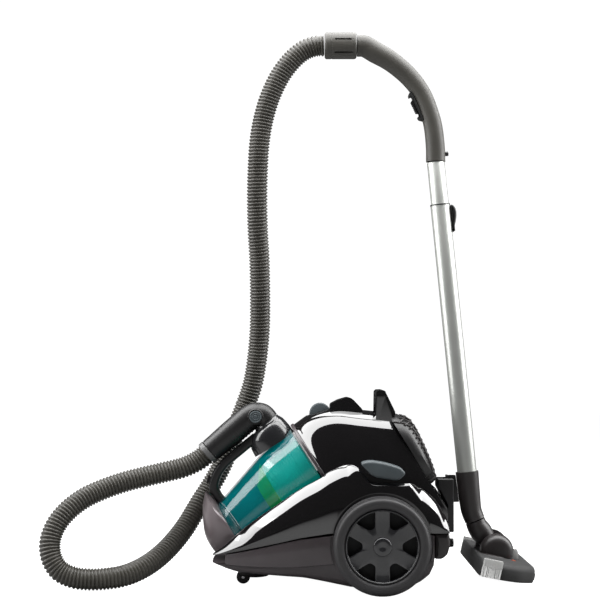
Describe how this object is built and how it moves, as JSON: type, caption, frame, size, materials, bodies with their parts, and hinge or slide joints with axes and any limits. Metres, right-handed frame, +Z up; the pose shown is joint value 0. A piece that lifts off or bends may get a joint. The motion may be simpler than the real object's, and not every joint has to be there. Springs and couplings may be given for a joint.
{
  "type": "canister vacuum cleaner",
  "caption": "Wheeled bagless canister vacuum with a lift-out bin, corrugated hose, telescopic wand and floor tool parked at the back.",
  "frame": {"origin": "on the floor, at the centre of the outer box without the hose", "axes": "+Z up, +X towards the parked wand, -X towards the bin and hose, Y across the wheels"},
  "size_m": [0.8565, 0.291, 0.992],
  "materials": {
    "piano_black": "high gloss black",
    "cap_mauve": "glossy grey with a mauve metallic flake",
    "satin_grey": "satin dark grey",
    "matte_blue_grey": "matte blue grey",
    "matte_black": "matte black",
    "dark_grey": "fine textured dark grey",
    "tyre_grey": "soft matte rubber",
    "disc_black": "semi gloss black",
    "bin_teal": "clear tinted polycarbonate",
    "filter_cyan": "matte plastic mesh",
    "funnel_green": "satin green",
    "hose_grey": "corrugated satin hose",
    "light_grey": "light grey",
    "brushed_alu": "satin anodised tube",
    "steel": "plain steel",
    "filter_white": "non woven filter",
    "board_green": "circuit board",
    "seal_black": "soft rubber"
  },
  "bodies": {
    "canister": {"chassis": "satin_grey", "bin_cradle": "dark_grey", "fender_left": "piano_black", "fender_right": "piano_black", "upper_cover": "piano_black", "collar_ring": "cap_mauve", "carry_handle": "piano_black", "exhaust_filter": "filter_white", "exhaust_grille": "dark_grey", "rear_panel": "piano_black", "rear_bumper": "dark_grey", "park_bracket": "satin_grey", "cord_gland": "matte_black", "motor": "steel", "motor_mount": "seal_black", "pre_motor_filter": "filter_white", "reel_axle": "steel", "reel_bracket": "dark_grey", "control_board": "board_green", "axle_left": "steel", "axle_right": "steel", "hose_lower": "hose_grey", "hose_upper": "hose_grey"},
    "rear_wheel_left": {"tyre_left": "tyre_grey", "wheel_disc_left": "disc_black"},
    "rear_wheel_right": {"tyre_right": "tyre_grey", "wheel_disc_right": "disc_black"},
    "caster": {"caster_fork": "dark_grey", "caster_axle": "steel"},
    "caster_roller": {"caster_wheel": "tyre_grey"},
    "power_pedal": {"power_pedal": "matte_blue_grey"},
    "rewind_pedal": {"rewind_pedal": "matte_blue_grey"},
    "suction_dial": {"suction_dial": "matte_blue_grey"},
    "fan": {"fan": "brushed_alu"},
    "cord_reel": {"cord_reel": "dark_grey"},
    "bin": {"dust_bin": "bin_teal", "door_seal": "seal_black", "bin_handle": "matte_black", "inlet_dome": "matte_black", "cyclone_filter": "filter_cyan", "cyclone_funnel": "funnel_green", "hose_elbow": "matte_black", "elbow_cuff_ring": "light_grey"},
    "bin_door": {"bin_door": "cap_mauve"},
    "bin_release": {"bin_release": "dark_grey"},
    "elbow_button": {"elbow_button": "matte_blue_grey"},
    "handle": {"handle_grip": "dark_grey", "inner_tube": "brushed_alu"},
    "hose_cuff": {"hose_cuff": "satin_grey"},
    "air_slider": {"air_slider": "matte_black"},
    "lock_button": {"lock_button": "matte_black"},
    "wand": {"outer_tube": "brushed_alu", "wand_neck": "dark_grey", "park_hook": "matte_black"},
    "telescope_button": {"telescope_button": "matte_black"},
    "tool_swivel": {"tool_swivel": "dark_grey"},
    "tool_head": {"tool_head": "dark_grey", "side_brush_left": "light_grey", "side_brush_right": "light_grey"},
    "tool_pedal": {"tool_pedal": "light_grey"}
  },
  "joints": [
    {"name": "left_wheel_roll", "type": "hinge", "parent": "canister", "child": "rear_wheel_left", "pos_m": [0.022, -0.129, 0.083], "axis": [0, 1, 0], "continuous": true},
    {"name": "right_wheel_roll", "type": "hinge", "parent": "canister", "child": "rear_wheel_right", "pos_m": [0.022, 0.129, 0.083], "axis": [0, 1, 0], "continuous": true},
    {"name": "caster_swivel", "type": "hinge", "parent": "canister", "child": "caster", "pos_m": [-0.198, 0, 0.03], "axis": [0, 0, 1], "continuous": true},
    {"name": "caster_roll", "type": "hinge", "parent": "caster", "child": "caster_roller", "pos_m": [-0.218, 0, 0.012], "axis": [0, 1, 0], "continuous": true},
    {"name": "power_pedal_press", "type": "hinge", "parent": "canister", "child": "power_pedal", "pos_m": [0.06, -0.0995, 0.2025], "axis": [0, 1, 0], "range_deg": [-3, 0], "stiffness_Nm_per_rad": 8, "springref_deg": 1.72},
    {"name": "rewind_pedal_press", "type": "hinge", "parent": "canister", "child": "rewind_pedal", "pos_m": [0.06, 0.0995, 0.2025], "axis": [0, 1, 0], "range_deg": [-3, 0], "stiffness_Nm_per_rad": 8, "springref_deg": 1.72},
    {"name": "suction_dial_turn", "type": "hinge", "parent": "canister", "child": "suction_dial", "pos_m": [-0.081, 0, 0.3015], "axis": [0, 1, 0], "range_deg": [-60, 60]},
    {"name": "fan_spin", "type": "hinge", "parent": "canister", "child": "fan", "pos_m": [-0.05545, 0, 0.21716], "axis": [0.8387, 0, 0.5446], "continuous": true},
    {"name": "cord_reel_spin", "type": "hinge", "parent": "canister", "child": "cord_reel", "pos_m": [0.052, 0, 0.118], "axis": [0, 1, 0], "continuous": true},
    {"name": "bin_lift", "type": "slide", "parent": "canister", "child": "bin", "axis": [-0.5446, 0, 0.8387], "range_m": [0, 0.1], "deforming": ["hose_lower"]},
    {"name": "bin_door_hinge", "type": "hinge", "parent": "bin", "child": "bin_door", "pos_m": [-0.2816, 0, 0.1633], "axis": [0, 1, 0], "range_deg": [0, 49]},
    {"name": "bin_release_press", "type": "slide", "parent": "bin", "child": "bin_release", "axis": [0.9683, 0, -0.2499], "range_m": [0, 0.0025], "stiffness_N_per_m": 400, "springref_m": -0.001},
    {"name": "elbow_button_press", "type": "slide", "parent": "bin", "child": "elbow_button", "axis": [0, 1, 0], "range_m": [0, 0.002], "stiffness_N_per_m": 400, "springref_m": -0.001},
    {"name": "telescope", "type": "slide", "parent": "canister", "child": "handle", "axis": [-0.0952, 0, 0.9955], "range_m": [0, 0.3], "deforming": ["hose_upper"]},
    {"name": "hose_cuff_swivel", "type": "hinge", "parent": "handle", "child": "hose_cuff", "pos_m": [-0.043, 0, 0.968], "axis": [1, 0, 0], "continuous": true},
    {"name": "air_slider_slide", "type": "slide", "parent": "handle", "child": "air_slider", "axis": [0.392, 0, -0.92], "range_m": [-0.005, 0.005]},
    {"name": "lock_button_press", "type": "slide", "parent": "handle", "child": "lock_button", "axis": [-0.9955, 0, -0.0952], "range_m": [0, 0.001], "stiffness_N_per_m": 300, "springref_m": -0.001},
    {"name": "wand_park_lift", "type": "slide", "parent": "canister", "child": "wand", "axis": [-0.0952, 0, 0.9955], "range_m": [0, 0.05]},
    {"name": "telescope_button_slide", "type": "slide", "parent": "wand", "child": "telescope_button", "axis": [0.0952, 0, -0.9955], "range_m": [0, 0.008], "stiffness_N_per_m": 250, "springref_m": -0.003},
    {"name": "tool_swivel_turn", "type": "hinge", "parent": "wand", "child": "tool_swivel", "pos_m": [0.1963, 0, 0.1102], "axis": [0.3732, 0, -0.9277], "range_deg": [-14, 14]},
    {"name": "tool_tilt", "type": "hinge", "parent": "tool_swivel", "child": "tool_head", "pos_m": [0.221, 0, 0.052], "axis": [0, 1, 0], "range_deg": [-14, 18]},
    {"name": "tool_pedal_press", "type": "hinge", "parent": "tool_head", "child": "tool_pedal", "pos_m": [0.26662, 0, 0.04537], "axis": [0, 1, 0], "range_deg": [-8, 0]}
  ],
  "couplings": [
    {"joint": "bin_door_hinge", "follows": "bin_lift", "rad_per_m": 8.3776}
  ]
}
